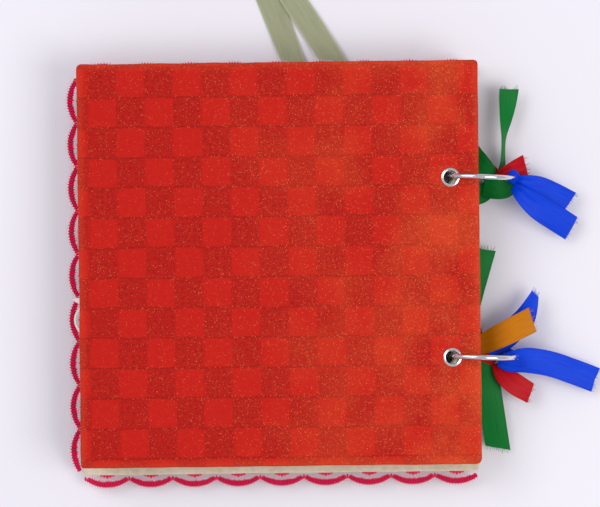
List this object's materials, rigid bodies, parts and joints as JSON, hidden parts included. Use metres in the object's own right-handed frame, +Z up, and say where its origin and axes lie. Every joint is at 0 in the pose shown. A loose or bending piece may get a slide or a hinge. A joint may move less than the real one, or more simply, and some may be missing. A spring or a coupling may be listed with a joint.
{
  "type": "ring album",
  "caption": "Square handmade ring album lying face down: fabric-wrapped covers on hinged book rings, leaves that turn, lace edging, and satin ribbon ties at the spine",
  "frame": {"origin": "On the table, on the lower face of the plaque that the album lies on, under the middle of the back cover's width; the plaque's middle is 5 mm towards the foot", "axes": "+X from the fore-edge to the ring spine, +Y to the head of the book, +Z up through the closed album"},
  "size_m": [0.2734, 0.2735, 0.0385],
  "materials": {
    "grey_board": "matte",
    "batting": "matte",
    "cream_linen": "woven",
    "red_check_cotton": "woven, glitter print",
    "lining_paper": "matte",
    "eyelet_nickel": "polished",
    "leaf_board": "matte",
    "leaf_paper": "matte",
    "white_card": "matte",
    "ring_nickel": "polished",
    "blue_satin": "satin",
    "green_satin": "satin",
    "red_satin": "satin",
    "gold_satin": "satin",
    "crimson_lace": "corded",
    "mat_card": "matte",
    "foam": "matte",
    "frame_card": "matte",
    "plaque_card": "matte",
    "green_organza": "sheer"
  },
  "bodies": {
    "front_cover": {"front_board": "grey_board", "front_padding": "batting", "front_fabric_wrap": "cream_linen", "front_lining": "lining_paper", "front_eyelet_upper": "eyelet_nickel", "front_eyelet_lower": "eyelet_nickel", "upper_ring_top_arm": "ring_nickel", "upper_ring_bottom_arm": "ring_nickel", "upper_ring_hinge_pin": "ring_nickel", "lower_ring_top_arm": "ring_nickel", "lower_ring_bottom_arm": "ring_nickel", "lower_ring_hinge_pin": "ring_nickel", "upper_ring_blue_ribbon": "blue_satin", "lower_ring_blue_ribbon": "blue_satin", "upper_ring_green_ribbon": "green_satin", "lower_ring_green_ribbon": "green_satin", "upper_ring_red_ribbon": "red_satin", "lower_ring_red_ribbon": "red_satin", "lower_ring_gold_ribbon": "gold_satin", "lace_foot": "crimson_lace", "lace_head": "crimson_lace", "lace_fore_edge": "crimson_lace", "front_mat": "mat_card", "lower_foam_pads": "foam", "upper_foam_pads": "foam", "raised_frame_card": "frame_card", "front_plaque": "plaque_card", "bow_loops": "green_organza", "bow_knot": "green_organza", "organza_tail_left": "green_organza", "organza_tail_right": "green_organza"},
    "leaf_1": {"leaf_1_board": "leaf_board", "leaf_1_front_paper": "leaf_paper", "leaf_1_back_paper": "leaf_paper"},
    "leaf_2": {"leaf_2_board": "leaf_board", "leaf_2_front_paper": "leaf_paper", "leaf_2_back_paper": "leaf_paper"},
    "leaf_3": {"leaf_3_board": "leaf_board", "leaf_3_front_paper": "leaf_paper", "leaf_3_back_paper": "leaf_paper", "white_flourish": "white_card"},
    "leaf_4": {"leaf_4_board": "leaf_board", "leaf_4_front_paper": "leaf_paper", "leaf_4_back_paper": "leaf_paper"},
    "leaf_5": {"leaf_5_board": "leaf_board", "leaf_5_front_paper": "leaf_paper", "leaf_5_back_paper": "leaf_paper"},
    "leaf_6": {"leaf_6_board": "leaf_board", "leaf_6_front_paper": "leaf_paper", "leaf_6_back_paper": "leaf_paper"},
    "back_cover": {"back_board": "grey_board", "back_padding": "batting", "back_fabric_wrap": "red_check_cotton", "back_lining": "lining_paper", "back_eyelet_upper": "eyelet_nickel", "back_eyelet_lower": "eyelet_nickel"}
  },
  "joints": [
    {"name": "back_cover_turn", "type": "hinge", "parent": "front_cover", "child": "back_cover", "pos_m": [0.10262, -0.0026, 0.01925], "axis": [0, 1, 0], "range_deg": [0, 176], "deforming": ["upper_ring_blue_ribbon", "lower_ring_blue_ribbon", "upper_ring_green_ribbon", "lower_ring_green_ribbon", "upper_ring_red_ribbon", "lower_ring_red_ribbon", "lower_ring_gold_ribbon"]},
    {"name": "leaf_1_turn", "type": "hinge", "parent": "front_cover", "child": "leaf_1", "pos_m": [0.10262, -0.0026, 0.01925], "axis": [0, 1, 0], "range_deg": [0, 26.1]},
    {"name": "leaf_2_turn", "type": "hinge", "parent": "front_cover", "child": "leaf_2", "pos_m": [0.10262, -0.0026, 0.01925], "axis": [0, 1, 0], "range_deg": [0, 51.3]},
    {"name": "leaf_3_turn", "type": "hinge", "parent": "front_cover", "child": "leaf_3", "pos_m": [0.10262, -0.0026, 0.01925], "axis": [0, 1, 0], "range_deg": [0, 76.4]},
    {"name": "leaf_4_turn", "type": "hinge", "parent": "front_cover", "child": "leaf_4", "pos_m": [0.10262, -0.0026, 0.01925], "axis": [0, 1, 0], "range_deg": [0, 101.6]},
    {"name": "leaf_5_turn", "type": "hinge", "parent": "front_cover", "child": "leaf_5", "pos_m": [0.10262, -0.0026, 0.01925], "axis": [0, 1, 0], "range_deg": [0, 126.7]},
    {"name": "leaf_6_turn", "type": "hinge", "parent": "front_cover", "child": "leaf_6", "pos_m": [0.10262, -0.0026, 0.01925], "axis": [0, 1, 0], "range_deg": [0, 151.9]}
  ],
  "couplings": [
    {"joint": "leaf_1_turn", "follows": "back_cover_turn", "ratio": 0.1429},
    {"joint": "leaf_2_turn", "follows": "back_cover_turn", "ratio": 0.2857},
    {"joint": "leaf_3_turn", "follows": "back_cover_turn", "ratio": 0.4286},
    {"joint": "leaf_4_turn", "follows": "back_cover_turn", "ratio": 0.5714},
    {"joint": "leaf_5_turn", "follows": "back_cover_turn", "ratio": 0.7143},
    {"joint": "leaf_6_turn", "follows": "back_cover_turn", "ratio": 0.8571}
  ]
}
